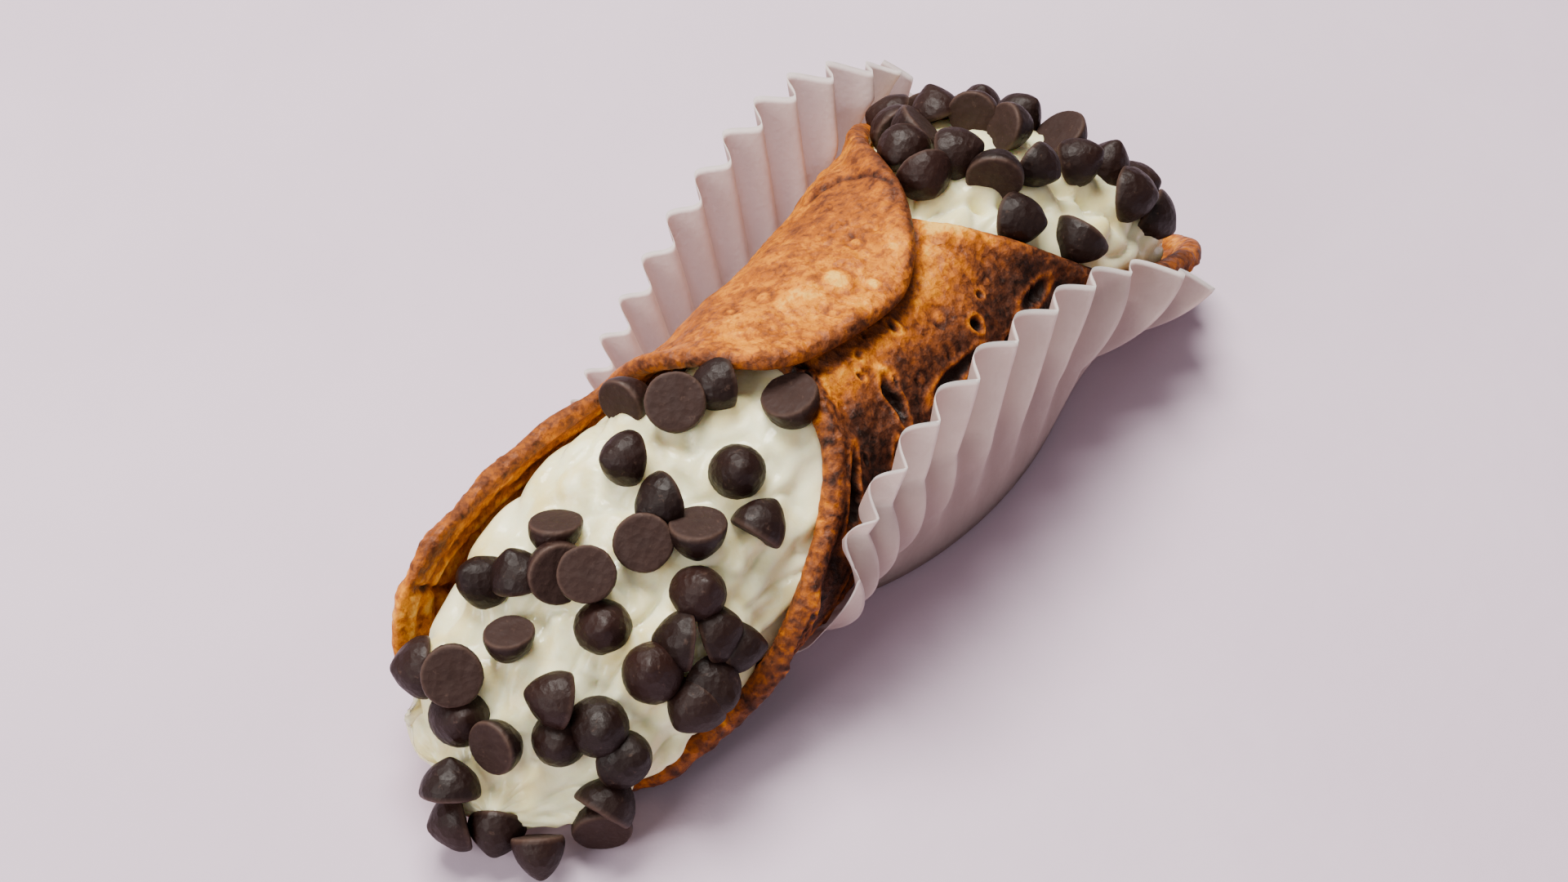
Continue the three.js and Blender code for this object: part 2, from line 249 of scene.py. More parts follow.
shell = start_piece(
    "cannolo_shell", bpy.ops.mesh.primitive_grid_add,
    x_subdivisions=DOUGH_CELLS, y_subdivisions=DOUGH_CELLS, size=2,
)
square = points_of(shell) * MM
ring, share = square_to_disc(square[:, 0], square[:, 1])
out = ring**COARSER_MIDDLE
out = 1 - (1 - out) * (1 - EDGE_FINENESS * ring**FINE_EDGE)
sheet = DOUGH_CENTRE + (cut_edge(share) - DOUGH_CENTRE) * out[:, None]
move_points(shell, np.stack([sheet[:, 0], -sheet[:, 1] * ARC, np.zeros(len(sheet))], axis=-1))

rim_points = cut_edge(np.linspace(0, 1, RIM_STEPS, endpoint=False))
rim_tree = make_tree([(x, -turn * ARC, 0) for x, turn in rim_points])
from_rim = [rim_tree.find(place)[2] for place in points_of(shell)]
paint(shell, "from_rim", np.where(ring > 0.9999, 0, from_rim))
apply_modifier(shell, "SOLIDIFY", thickness=DOUGH * MM, offset=1)
print("dough:", [round(float(size)) for size in np.ptp(points_of(shell), axis=0)], "mm, flat")

# %% [markdown]
# ## Blisters and pocks
# Hot oil boils the water out of the dough, so its skin rises in broad blisters, and the thinnest
# of them burst. On the right side, which lay in the hottest oil, the dough has cracked into long pits
# with a pale raised lip. Further back the pits are rounder, and the flap has only shallow dimples.
# Some blisters sank again as they cooled, and left a shallow ring. All of it is a height for each
# point of the sheet, and the flat layout makes it easy to say where each mark lies. The marks that
# stand out have rows of their own, and a seeded draw scatters the rest.

# %% Marks that the oil leaves
BLISTER = 0.3
LIP = dict(height=0.3, reach=1.6, width=0.4)  # its height is a share of the pock's depth
POCKS = [  # along, turn, half width, half length, depth and slant of those that stand out
    (0.8, 45, 0.7, 2.4, 1.2, -0.2), (-11, 62, 0.85, 3.0, 1.3, -0.7), (16, 48, 0.7, 0.8, 1.0, 0),
    (10, 57, 3.4, 0.8, 0.7, 0), (26, 58, 2.3, 0.8, 0.8, 0), (-15.5, 48, 0.6, 1.5, 0.9, -0.5),
    (-3, 68, 0.7, 1.8, 1.0, -0.3), (20, 66, 1.2, 0.9, 0.8, 0),
]
MORE_POCKS = [  # how many to scatter, and the spans of the same six measures
    (14, (-26, 8), (70, 124), (0.5, 0.9), (1.2, 2.8), (0.7, 1.2), (-0.8, 0)),
    (8, (12, 34), (66, 110), (0.6, 1.0), (0.8, 1.5), (0.7, 1.0), (-0.4, 0.4)),
    (10, (30, 58), (78, 135), (0.6, 1.1), (0.8, 1.6), (0.6, 1.0), (-0.4, 0.4)),
    (16, (-18, 28), (6, 60), (0.3, 0.5), (0.4, 0.8), (0.25, 0.5), (-0.4, 0.4)),
    (16, (-12, 30), (298, 372), (0.3, 0.5), (0.4, 0.7), (0.12, 0.24), (-0.4, 0.4)),
    (46, (-46, 54), (135, 290), (0.5, 0.9), (0.8, 2.4), (0.4, 0.9), (-0.4, 0.4)),
]
CRATERS = [  # along, turn and radius of the sunken blisters
    (6.5, 359, 2.0), (8.5, 370, 1.1), (0.5, 340, 1.1), (-3, 333, 0.8), (13, 352, 0.9), (2, 366, 0.7),
    (13, 35, 1.1), (5.5, 48, 0.9), (21.5, 39, 0.7), (-10, 43.5, 1.3), (-5, 14, 1.2),
]
TIP_RING = dict(x=18.5, turn=336, radius=5.3)  # the round blister at the flap's tip
POCK_SEED = 5


def blister(x, turn):
    """The height of the broad blisters, which fade away below."""
    rows = np.sin(0.42 * x + 2.1 * np.sin(np.radians(2.6 * turn)))
    columns = np.sin(np.radians(7.3 * turn) + 0.11 * x)
    below = smooth(-np.cos(np.radians(turn)), 0.6, 0.9)
    return BLISTER * rows * columns * (1 - below)


def make_pocks(x, turn, warp, curl):
    """For each point: the burst blisters' height, how far inside one it is, and how much on a lip."""
    draw = random.Random(POCK_SEED)
    rows = [spans for count, *spans in MORE_POCKS for number in range(count)]
    scattered = [[draw.uniform(*span) for span in spans] for spans in rows]
    height, inside, lips = np.zeros(len(x)), np.zeros(len(x)), np.zeros(len(x))
    for at, middle, width, length, depth, slant in POCKS + scattered:
        about = (turn - middle) * ARC + 0.4 * curl
        across = x - at + 0.5 * warp - slant * about
        reach = np.hypot(across / width, about / length)
        lip = bump(reach, LIP["reach"], LIP["width"])
        height += depth * (LIP["height"] * lip - np.exp(-(reach**3)))
        inside = np.maximum(inside, np.exp(-((reach / 1.1) ** 4)) * min(1, depth / 0.8))
        lips = np.maximum(lips, lip * min(1, depth / 0.6))
    return height, inside, lips


def make_craters(x, turn, warp, curl):
    """For each point: how much it is on a crater's ring, and how much on its floor."""
    rings, floors = np.zeros(len(x)), np.zeros(len(x))
    for at, middle, radius in CRATERS:
        reach = np.hypot(x - at + 0.4 * warp, (turn - middle) * ARC + 0.4 * curl) / radius
        rings = np.maximum(rings, bump(reach, 1, 0.3))
        floors = np.maximum(floors, 1 - smooth(reach, 0.4, 0.9))
    return rings, floors


flat = points_of(shell)
x, turn, lift = flat[:, 0], -flat[:, 1] / ARC, flat[:, 2] / DOUGH
from_rim = painted(shell, "from_rim")
outer = lift > 0.5
warp = unevenness(flat, (1.9, 2.6, 9))
curl = unevenness(flat, (3.1, 3.1, 9), 8.8)
swirl = unevenness(flat, (8, 6, 9), 4.4)
pocks, inside_pock, lips = make_pocks(x, turn, warp, curl)
swirled = flat + np.stack([1.1 * warp, 1.4 * curl, 0 * warp], axis=-1)
veins = np.maximum(creases(swirled, (2.6, 3.4, 9), 1.3), 0.8 * creases(swirled, (1.5, 2.1, 9), 6.1, 0.2))
rings, floors = make_craters(x, turn, warp, curl)
wrinkles = 0.2 * curl + 0.12 * warp - 0.1 * veins - 0.24 * rings
pock_count = len(POCKS) + sum(row[0] for row in MORE_POCKS)
print("pocks:", pock_count, "deepest", round(float(-pocks.min()), 2), "mm")

# %% [markdown]
# ## The rolled rim
# The pin has left the edge a little thicker than the sheet, with a channel behind it. On the front's
# right side it is a fat grainy roll. The flap's edge has sprung up a little from the layer below, which
# opens a dark gap under it, and a round blister at the flap's tip has sunk inside its own ring. The
# left wall's rim is thin and shows the dough's layers inside, and it has torn in one place.

# %% Rims, the channel and the flap's edge
TEAR_FROM, TEAR_TO = (-47, 282), (-41, 258)  # along and turn: from the left edge into the wall
FLAP_BEGINS = (272, 300)  # turns
LEFT_WALL_BEGINS = (180, 215)
ROLL = dict(thin=0.15, fat=0.62, behind=1.4, width=1.25)  # behind is its distance from the cut edge
CHANNEL = dict(thin=0.2, fat=0.42, behind=4.0, width=1.0)
SPRING = dict(by=0.75, over=6.5)
on_flap = smooth(turn, *FLAP_BEGINS)
front = (1 - on_flap) * smooth(-x, -8, 4)
left_wall = smooth(turn, *LEFT_WALL_BEGINS) * (1 - on_flap)
flap_tip = on_flap * smooth(x, TIP_RING["x"] - 0.5, TIP_RING["x"] + 2)
from_tip = np.hypot(x - TIP_RING["x"], (turn - TIP_RING["turn"]) * ARC)
from_tip = from_tip + 0.5 * curl - TIP_RING["radius"]
tip_ring = flap_tip * bump(from_tip, 0, 0.45)
grains = unevenness(flat, (0.8, 0.8, 9), 2.9)
roll = mix(ROLL["thin"], ROLL["fat"], front) * (1 - 0.7 * left_wall)
roll = roll * bump(from_rim, ROLL["behind"], ROLL["width"])
channel = mix(CHANNEL["thin"], CHANNEL["fat"], front) * (1 - 0.6 * left_wall)
channel = channel * bump(from_rim, CHANNEL["behind"], CHANNEL["width"])
sunk_tip = 0.42 * tip_ring + 0.25 * flap_tip * (1 - smooth(from_tip, -1.2, 0))
grainy = (0.24 * grains + 0.2 * warp) * bump(from_rim, 1, 2.2) * (1 - 0.6 * on_flap)
rim_relief = roll - channel - sunk_tip + grainy
sprung = SPRING["by"] * on_flap * (1 - smooth(from_rim, 0, SPRING["over"]))
away = smooth(from_rim, 0.4, 2.2)
tear_share = np.clip((TEAR_TO[1] - turn) / (TEAR_TO[1] - TEAR_FROM[1]), 0, 1)
beside_tear = x - mix(TEAR_TO[0], TEAR_FROM[0], tear_share)
past_tear = (turn - np.clip(turn, TEAR_TO[1], TEAR_FROM[1])) * ARC
tear = bump(np.hypot(beside_tear, past_tear) + 0.3 * warp, 0, 0.6)


def meet(outside, inside, reach):
    """The outside's values and the inside's, which run into each other at the rim."""
    middle = (outside + inside) / 2
    return middle + (np.where(outer, outside, inside) - middle) * smooth(from_rim, 0, reach)


skin_relief = blister(x, turn) + (pocks + wrinkles) * away + rim_relief
layers = np.sin(2.1 * from_rim + 2.4 * curl)
inner_relief = (
    -0.5 * wrinkles * away + 0.1 * bump(from_rim, 1, 2) * grains
    + 0.12 * layers * away + 0.5 * tear
)
relief = meet(skin_relief, inner_relief, 0.9) + sprung
print("rim: roll", round(float(roll.max()), 2), "mm, spring", round(float(sprung.max()), 2), "mm")

# %% [markdown]
# ## Wrapping the dough round the tube
# Now each point of the sheet goes to its place on the tube. Its turn may pass a whole circle, which
# is where the flap lies over the other end. The rim is rounded by letting both skins close in on
# the middle of the dough over the last millimetre, as a cut edge puffs up in the oil. The hidden
# points, inside and below, are then thinned out by a Decimate modifier, which leaves the rest alone.

# %% Wrap the dough
RIM_ROUND = 1.15
LEFT_RIM_ROUND = 1.5  # the left wall thins out more slowly
LEFT_THINNER = dict(by=0.35, over=6)  # and it is thinner all along its rim
RIM_LEFT = 0.12  # the share of the thickness that stays at the very edge
KEPT = 0.56  # the share of the faces that stays

left_rim = smooth(turn, 205, 225) * (1 - smooth(turn, 288, 304)) * smooth(-x, 2, 9)
edge_share = np.clip(1 - from_rim / mix(RIM_ROUND, LEFT_RIM_ROUND, left_rim), 0, 1)
thinner = LEFT_THINNER["by"] * left_rim * (1 - smooth(from_rim, 0, LEFT_THINNER["over"]))
rounding = np.maximum(np.sqrt(1 - edge_share**2), RIM_LEFT) * (1 - thinner)
depth = 0.5 + (lift - 0.5) * rounding
move_points(shell, on_tube(x, turn, BORE + lap_at(x, turn) + depth * DOUGH + relief))

# %% [markdown]
# ## Where the shell is toasted
# The flap stands clear of the steel and fries golden. The right side faced the bottom of the pan and
# is dark, above all in the channel behind the front rim, where painted shade darkens the groove as well,
# and the rim's grains are brown and gold. The strip beside the flap stayed pale, and a painted shadow
# makes a dark line right under the flap's edge.
# These are broad areas, so they are painted on the points here, and the material adds the mottling.

# %% Toasting
BARE_TOAST = 0.43  # from 0, raw, to 1, burnt
RIM_TOAST = 0.75
INNER_TOAST, LEFT_INNER_TOAST = 0.56, 0.32
TONES = [  # along, turn and size of a patch, and how much darker the crust is there
    (-1, 356, 3.0, -0.14), (7, 359, 3.0, -0.1), (5.5, 334, 3.5, 0.08), (-3, 316, 5, 0.08), (21, 334, 7, 0.2),
    (10, 20, 5, -0.12), (-5, 14, 4, -0.1), (-15, 44, 4, 0.14), (2, 50, 6, 0.08), (30, 50, 11, 0.17),
]
# the flap's edge lies a whole turn further than the layer that it covers
from_flap = np.array([rim_tree.find((place[0], place[1] - 360 * ARC, 0))[2] for place in flat])
right = smooth(turn, 8, 58) * (1 - smooth(turn, 200, 285))
beside_flap = bump(x - 6, 0, 19) * bump(turn, 2, 24)
toast = BARE_TOAST + 0.49 * right - 0.26 * beside_flap * (1 - on_flap)
toast = toast + 0.12 * right * smooth(-x, -16, 6) + 0.1 * swirl
for at, middle, size, by in TONES:
    toast = toast + by * bump(np.hypot(x - at, (turn - middle) * ARC) + swirl, 0, size)
toast = toast + 0.17 * rings - 0.12 * floors
# the channel behind the front rim: darker crust, with painted shade in the groove
toast = toast + 0.4 * front * bump(from_rim, 4.4, 1.3) * smooth(turn, 26, 50)  # the channel
on_roll = front * (1 - smooth(from_rim, 2.0, 3.0))
toast = mix(toast, RIM_TOAST + 0.4 * grains, on_roll * (1 - left_wall))
toast = toast - 0.22 * left_wall * (1 - smooth(from_rim, 1, 4))
toast = toast - 0.25 * (1 - on_flap) * (1 - front) * bump(from_rim, 1.0, 1.6)  # the back mouth's rim
toast = toast + on_flap * 0.3 * bump(from_rim, 0, 1.1) + 0.28 * tip_ring
# painted shadow: a thin dark line on the layer below, along the flap's edge
toast = toast + 0.46 * (1 - on_flap) * (1 - smooth(from_flap, 0.3, 2.0))  # below the flap's edge
inner_toast = mix(INNER_TOAST, LEFT_INNER_TOAST, left_wall) + 0.12 * layers + 0.12 * swirl + 0.16 * grains
toast = meet(toast + 0.1 * warp, inner_toast, 0.8) + 0.5 * tear
paint(shell, "toast", np.clip(toast, 0, 1))
# the inside of each pock is painted darker
paint(shell, "pock_inside", np.clip(inside_pock * outer, 0, 1))
paint(shell, "lips", np.clip(lips * outer * away * (1 - 0.7 * on_flap), 0, 1))
paint(shell, "veins", veins * np.where(outer, 1, 0.5))

shown = outer & ((turn < 138) | (turn > 268)) | (from_rim < 6)
hidden = shell.vertex_groups.new(name="hidden")
hidden.add([int(number) for number in np.flatnonzero(~shown)], 1, "REPLACE")
apply_modifier(shell, "DECIMATE", ratio=KEPT, vertex_group="hidden", vertex_group_factor=1)
hand_over(shell, "shell")

# %% [markdown]
# ## The cream
# Ricotta cream fills the tube and swells out of both mouths in a rounded ridge. It begins as a ball,
# whose poles become the two tips: each of its rings goes to one place along the pastry, where the
# section is the tube's wall below and the ridge's crown above, with the line between them softened.

# %% Sections of the cream
FRONT = dict(tip=59.5, heel=10, nose=46, arc_x=1, arc_z=-51, arc_radius=84.2, crown=21, side=5)
BACK = dict(tip=60, heel=24, nose=50, arc_x=27, arc_z=-7.5, arc_radius=40, crown=17, side=1)
CREAM_GAP = 0.6
CREAM_SINK = 10.5
SKEW = dict(share=0.36, start=40, end=52)
OVERHANG = dict(by=1.8, start=49.5, end=53)
SWELL = dict(by=2, over=8, slope=0.78)
SOFTEN = 0.7
HOLLOWS = [(-36, 284, 16, 24, 2), (56, 122, 9, 40, 4)]  # along, turn, half length, half width, depth


def hollow_at(x, turn):
    """How deep the spatula has scraped the cream off the dough there."""
    depths = [
        depth * np.exp(-(((x - at) / length) ** 2) - ((turn - middle) / width) ** 2)
        for at, middle, length, width, depth in HOLLOWS
    ]
    return sum(depths)


def reach_of(start_z, across, up, middle_y, middle_z, radius):
    """The way from a place on the section's middle line to a circle, in one direction."""
    gap_y, gap_z = -middle_y, start_z - middle_z
    along = gap_y * across + gap_z * up
    return -along + np.sqrt(np.maximum(0, along**2 - gap_y**2 - gap_z**2 + radius**2))


def on_cream(x, turn, share=1.0, fuller=0.0):
    """A place on the cream. share is how far out it is, and fuller swells the wall under the dough."""
    x, turn = np.broadcast_arrays(np.asarray(x, float), np.asarray(turn, float))
    of = {key: np.where(x < 0, FRONT[key], BACK[key]) for key in FRONT}
    far = np.abs(x)
    across, up = -np.sin(np.radians(turn)), np.cos(np.radians(turn))
    sunk = AXIS_Z - CREAM_SINK * smooth(far, of["heel"], of["tip"])
    overhang = np.where(x < 0, OVERHANG["by"] * smooth(far, OVERHANG["start"], OVERHANG["end"]), 0)
    risen = smooth(far, of["heel"], of["heel"] + SWELL["over"])
    swell = SWELL["by"] * risen * smooth(up, SWELL["slope"], 1)
    lap = lap_at(x, turn % 360) * smooth(far, of["heel"], of["heel"] + SWELL["over"] / 2)
    wall = reach_of(sunk, across, up, 0, AXIS_Z, BORE - CREAM_GAP + fuller + overhang + swell + lap)
    ridge = of["arc_z"] + np.sqrt(of["arc_radius"] ** 2 - (x - of["arc_x"]) ** 2)
    on_side = of["side"] * smooth(far, of["heel"], of["heel"] + 15)
    crown = reach_of(sunk, across, up, on_side, ridge - of["crown"], of["crown"])
    soft = -SOFTEN * np.log(np.exp(-wall / SOFTEN) + np.exp(-crown / SOFTEN))
    past = np.maximum(0, (far - of["nose"]) / (of["tip"] - of["nose"]))
    reach = np.where(far < of["heel"], wall, soft) - hollow_at(x, turn % 360)
    radius = share * reach * np.sqrt(np.maximum(0, 1 - past**2))
    y = across * radius
    skew = np.where(x < 0, SKEW["share"] * smooth(far, SKEW["start"], SKEW["end"]), 0)
    return np.stack([x - skew * y, y * widening(x, y), sunk + up * radius], axis=-1)


# %% [markdown]
# ## The chocolate drops' places
# The drops come before the cream's surface, because the cream wells up a little round each of them.
# A row gives a drop's place on the cream, how far its peak leans from straight up, the heading that
# it leans to, and how far its middle stands off the cream. The front mouth's drops each have a
# place of their own, and so do the back mouth's on its top and right side, where they leave a bare
# band along the rim. On its far side and its very end they lie so thickly that a seeded draw
# scatters them.

# %% Rows of drops
FRONT_CHIPS = [
    (-18, -37, 100, 0, 1.4), (-17, -18, 145, 35, 1.8), (-13, -12, 80, 150, 1.6), (-9, 17, 165, -60, 1.6),
    (-25, -21, 65, 150, 1.2), (-19, 18, 38, -140, 1.2), (-27, -2, 80, 160, 1.0), (-27, 20, 165, -140, 1.6),
    (-21, 40, 60, 0, 1.4), (-31, 2, 140, 40, 1.0), (-35, -25, 156, -140, 1.0), (-38, -19, 120, 60, 1.2),
    (-37, -7, 142, 40, 2.6), (-42, -41, 35, 160, 1.4), (-40, -30, 30, 60, 1.4), (-45.5, -24, 165, -120, 1.6),
    (-40, 8, 40, -140, 0.8), (-31, 36, 25, -90, 2.2), (-36, 42, 80, 130, 1.0), (-32, 57, 70, -50, 1.0),
    (-36, 72, 75, -100, 1.2), (-39, 71, 100, 180, 0.4), (-40, 42, 40, -140, 1.6), (-31, 70, 90, -50, 0.6),
    (-49, -58, 85, 130, 1.2), (-49, -42, 135, 45, 2.4), (-52, -44, 40, -140, 0.2), (-53, -18, 110, -5, 1.4),
    (-48, 4, 70, 130, 1.6), (-51, 26, 60, -140, 0.8), (-48, 40, 40, -140, 1.8), (-49, 68, 60, -90, 1.2),
    (-57, -66, 40, 35, 2.0), (-58.5, -110, 95, 140, 1.8), (-58.5, 168, 110, -150, 0.9),
    (-57.8, 109, 130, -140, 3.0), (-53.5, 104, 86, 40, 1.2), (-53, 90, 60, 0, 0.4),
]
BACK_CHIPS = [
    (43, -50, 70, 120, 2.0), (41.5, -27, 50, 60, 1.8), (43, -15, 110, 20, 1.8), (35, -25, 130, 150, 1.6),
    (31, -24, 75, -160, 1.4), (33.5, -6, 60, -60, 1.8), (28, -9, 95, -120, 1.4), (34, 8, 90, 30, 1.6),
    (49, -9, 40, -60, 1.4), (43, -3, 120, -30, 1.8), (39, 15, 100, -90, 1.6), (45.5, 19, 60, -60, 1.6),
    (49, 7, 150, -60, 0.8), (51, 23, 30, -20, 1.2), (53, 36, 70, -60, 1.2), (51.5, 50, 110, -80, 0.8),
    (48.5, 38, 80, -70, 1.8), (31.5, 28, 75, -80, 1.2), (37, 47, 110, 180, 0.8), (37.5, -37, 100, 60, 1.8),
]
# along, and the first and the last turn of each row that is scattered
SCATTER = [(40, -66, -56), (45, -84, -62), (51, -92, -24), (54.5, -108, 14), (58, -120, 80)]
APART = 5.6
SCATTER_SEED = 11
DRAW_FACTOR, DRAW_SPAN = 16807, 2**31 - 1  # a common pair for a simple row of draws


def make_draw(seed):
    """A row of seeded draws from 0 to 1, the same on any machine."""
    state = seed
    while True:
        state = (state * DRAW_FACTOR) % DRAW_SPAN
        yield state / DRAW_SPAN


def scattered_chips():
    """Rows of drops over the back mouth's far side and its end, in the form of the rows above."""
    draws = make_draw(SCATTER_SEED)
    rows = []
    for x, first, last in SCATTER:
        girth = np.linalg.norm(on_cream(x, 0) - on_cream(x, 0, 0))
        step = min(90, math.degrees(APART / girth))
        turn = first + step * next(draws) / 2
        while turn < last:
            place = (x + 2 * next(draws) - 1, turn + 8 * next(draws) - 4)
            rows.append((*place, 150 * next(draws), 360 * next(draws), next(draws) - 0.4))
            turn += step
    return rows


def outward(x, turn):
    """The direction that the cream faces there."""
    along = on_cream(x + 0.5, turn) - on_cream(x - 0.5, turn)
    about = on_cream(x, turn + 2) - on_cream(x, turn - 2)
    facing = np.cross(about, along)
    return facing / np.linalg.norm(facing)


chip_rows = FRONT_CHIPS + BACK_CHIPS + scattered_chips()
chip_places = [on_cream(row[0], row[1]) for row in chip_rows]
print("drops:", len(chip_rows))

# %% [markdown]
# ## Piping and spreading the cream
# Piped cream is never smooth: the spatula drags it into long soft folds with a crest here and there,
# and it carries fine curds. Noise that is stretched along the pastry makes the drag, and folded
# noise, which has a sharp line where it changes its sign, makes the crests. Along the front mouth's
# right rim the spatula has left short ridges, and the bare band at the back, where the bag was pulled
# away, stands up in small peaks.

# %% Make the cream
CREAM_SEGMENTS = 250
CREAM_RINGS = 240
CREAM_FULLER = 0.75  # the cream presses against the dough
RIDGE, RIDGES_AROUND = 0.4, 20  # the height of the ridges, and how many would go round the tube
BULGE = dict(by=1.6, spans=((-53, 8), (-85, 26)))  # the cream swells over the left wall's tip
PEAKS = [(33, 20), (36.5, 26), (40, 31), (43.5, 33), (41.5, 24), (45, 44), (30.5, 12)]  # along, turn

cream = start_piece(
    "ricotta_cream", bpy.ops.mesh.primitive_uv_sphere_add, segments=CREAM_SEGMENTS, ring_count=CREAM_RINGS,
)
ball = points_of(cream) * MM
pole = np.arccos(np.clip(ball[:, 2], -1, 1)) / math.pi
x = mix(BACK["tip"], -FRONT["tip"], pole + 0.06 * np.sin(4 * math.pi * pole) / 2)
turn = -np.degrees(np.arctan2(ball[:, 1], ball[:, 0]))
move_points(cream, on_cream(x, turn, fuller=CREAM_FULLER))

places = points_of(cream)
drag = unevenness(places, (12, 4.6, 4.6), 2.7)
bent = places + 1.6 * drag[:, None]
crest = (1 - np.abs(unevenness(bent, (9, 4.0, 4.0), 9.1))) ** 6
dimples = unevenness(places, (4.2, 3.0, 3.0), 1.9)
curds = unevenness(places, (1.6, 1.2, 1.2), 5.5)
swelling = 0.85 * drag + 0.9 * crest + 0.2 * dimples + 0.06 * curds
girth = np.hypot(places[:, 1], places[:, 2] - AXIS_Z)
along_rim = smooth(-x, 4, 14) * (1 - smooth(-x, 42, 52))
right_edge = along_rim * smooth(turn, 24, 44) * (1 - smooth(turn, 96, 120))
swelling += RIDGE * right_edge * np.sin(np.radians(turn) * RIDGES_AROUND + 0.16 * x + 2 * drag)
from_bulge = [(place - middle) / reach for place, (middle, reach) in zip((x, turn), BULGE["spans"])]
swelling += BULGE["by"] * bump(np.hypot(*from_bulge), 0, 1)
for number, (at, middle) in enumerate(PEAKS):
    near = bump(np.hypot(x - at + 0.5 * drag, np.radians(turn - middle) * girth), 0, 1.1)
    swelling += (2.0 + 0.6 * math.sin(2.3 * number)) * near
chip_tree = make_tree(chip_places)
from_chip = np.array([chip_tree.find(place)[2] for place in places])
welling = 0.45 * bump(from_chip, 4.2, 0.9) - 0.35 * (1 - smooth(from_chip, 2, 3.4))
in_mouths = smooth(np.abs(x), 8, 16)
move_points(cream, places + normals_of(cream) * ((swelling + welling) * in_mouths)[:, None])
# painted shade: the cream is painted darker and yellower where its surface sinks between folds and crests
paint(cream, "fold_shade", np.clip(0.55 - 0.55 * drag - 0.6 * crest - 0.3 * dimples, 0, 1))
hand_over(cream, "filling")

# %% [markdown]
# ## One chocolate drop
# A drop is deposited warm on a belt: it spreads to a round with a flat underside, and a small peak is
# left where the nozzle lifts. One drop is modelled from a filled circle, with one extrusion and one
# resize for each step of its height, and a subdivision rounds it.

# %% Model one drop
CHIP = dict(radius=3.4, height=4.7, middle=1.7)
CHIP_SIDES = 14
CHIP_FOOT = 0.94
CHIP_STEPS = [  # height and width, as shares of the whole
    (0.06, 1.04), (0.26, 1.01), (0.45, 0.92), (0.62, 0.77),
    (0.77, 0.57), (0.88, 0.37), (0.96, 0.19), (1.0, 0.07),
]

drop = start_piece(
    "drop", bpy.ops.mesh.primitive_circle_add,
    vertices=CHIP_SIDES, radius=CHIP_FOOT * CHIP["radius"] * MM, fill_type="NGON",
)
bpy.ops.object.mode_set(mode="EDIT")
bpy.ops.mesh.select_all(action="SELECT")
height, width = 0.0, CHIP_FOOT
for step_height, step_width in CHIP_STEPS:
    rise = (step_height - height) * CHIP["height"] * MM
    bpy.ops.mesh.extrude_region_move(TRANSFORM_OT_translate={"value": (0, 0, rise)})
    size = step_width / width
    bpy.ops.transform.resize(value=(size, size, 1))
    height, width = step_height, step_width
bpy.ops.mesh.select_all(action="SELECT")
bpy.ops.mesh.normals_make_consistent(inside=False)
bpy.ops.mesh.select_all(action="DESELECT")
bpy.ops.object.mode_set(mode="OBJECT")
drop.data.polygons.foreach_set("select", [face.normal.z < -0.9 for face in drop.data.polygons])
bpy.ops.object.mode_set(mode="EDIT")
bpy.ops.mesh.select_mode(type="FACE")
bpy.ops.mesh.inset(thickness=0.35 * MM)
bpy.ops.mesh.inset(thickness=1.2 * MM)
bpy.ops.object.mode_set(mode="OBJECT")
apply_modifier(drop, "SUBSURF", levels=1, render_levels=1)
drop_points = points_of(drop)
flatness = 1 - smooth(drop_points[:, 2], 0.05, 0.25)
paint(drop, "underside", flatness)
from_middle = np.hypot(*drop_points[:, :2].T)
# a painted highlight, with some dust, on the rim of the flat underside
paint(drop, "edge", bump(drop_points[:, 2], 0.22, 0.2) * smooth(from_middle, 2.9, 3.2))
paint(drop, "mark", flatness * bump(from_middle, 0, 0.7))
drop_size = [round(float(size), 2) for size in np.ptp(drop_points, axis=0)]
print("drop:", drop_size, "mm,", len(drop.data.polygons), "faces")

# %% [markdown]
# ## Dipping the mouths
# The one drop is copied to each row, and each copy has its own size, squash and shade, since no two
# drops from a bag are alike. They are joined into one piece, because they are one kind of thing.

# %% Place the drops
CHIP_SEED = 4
DENT = 0.1


def place_drop(row, draw):
    """A copy of the drop at its row's place, with a size, squash, lean and shade of its own."""
    x, turn, tip, heading, lift = row
    tip, heading = math.radians(tip), math.radians(heading)
    peak = Vector((math.cos(heading) * math.sin(tip), math.sin(heading) * math.sin(tip), math.cos(tip)))
    middle = Vector(on_cream(x, turn) + outward(x, turn) * lift)
    turned = peak.to_track_quat("Z", "Y").to_matrix().to_4x4()
    size = draw.uniform(0.88, 1.06)
    grown = Matrix.Diagonal((size * draw.uniform(0.97, 1.03), size, draw.uniform(0.92, 1.06), 1))
    spun = Matrix.Rotation(draw.uniform(0, math.tau), 4, "Z")
    slid = Matrix.Shear("XY", 4, (draw.uniform(-0.12, 0.12), draw.uniform(-0.12, 0.12)))
    lowered = Matrix.Translation((0, 0, -CHIP["middle"] * MM))
    copy = drop.copy()
    copy.data = drop.data.copy()
    copy.data.transform(Matrix.Translation(middle * MM) @ turned @ slid @ grown @ spun @ lowered)
    bpy.context.collection.objects.link(copy)
    paint(copy, "shade", np.full(len(copy.data.vertices), draw.random()))
    return copy


draw = random.Random(CHIP_SEED)
drops = [place_drop(row, draw) for row in chip_rows]
bpy.ops.object.select_all(action="DESELECT")
for copy in drops:
    copy.select_set(True)
bpy.context.view_layer.objects.active = drops[0]
bpy.ops.object.join()
bpy.data.objects.remove(drop)
chips = bpy.context.object
chips.name = chips.data.name = "chocolate_chips"
dents = DENT * unevenness(points_of(chips), (1.5, 1.5, 1.5), 4.2)
move_points(chips, points_of(chips) + normals_of(chips) * dents[:, None])
hand_over(chips, "filling")

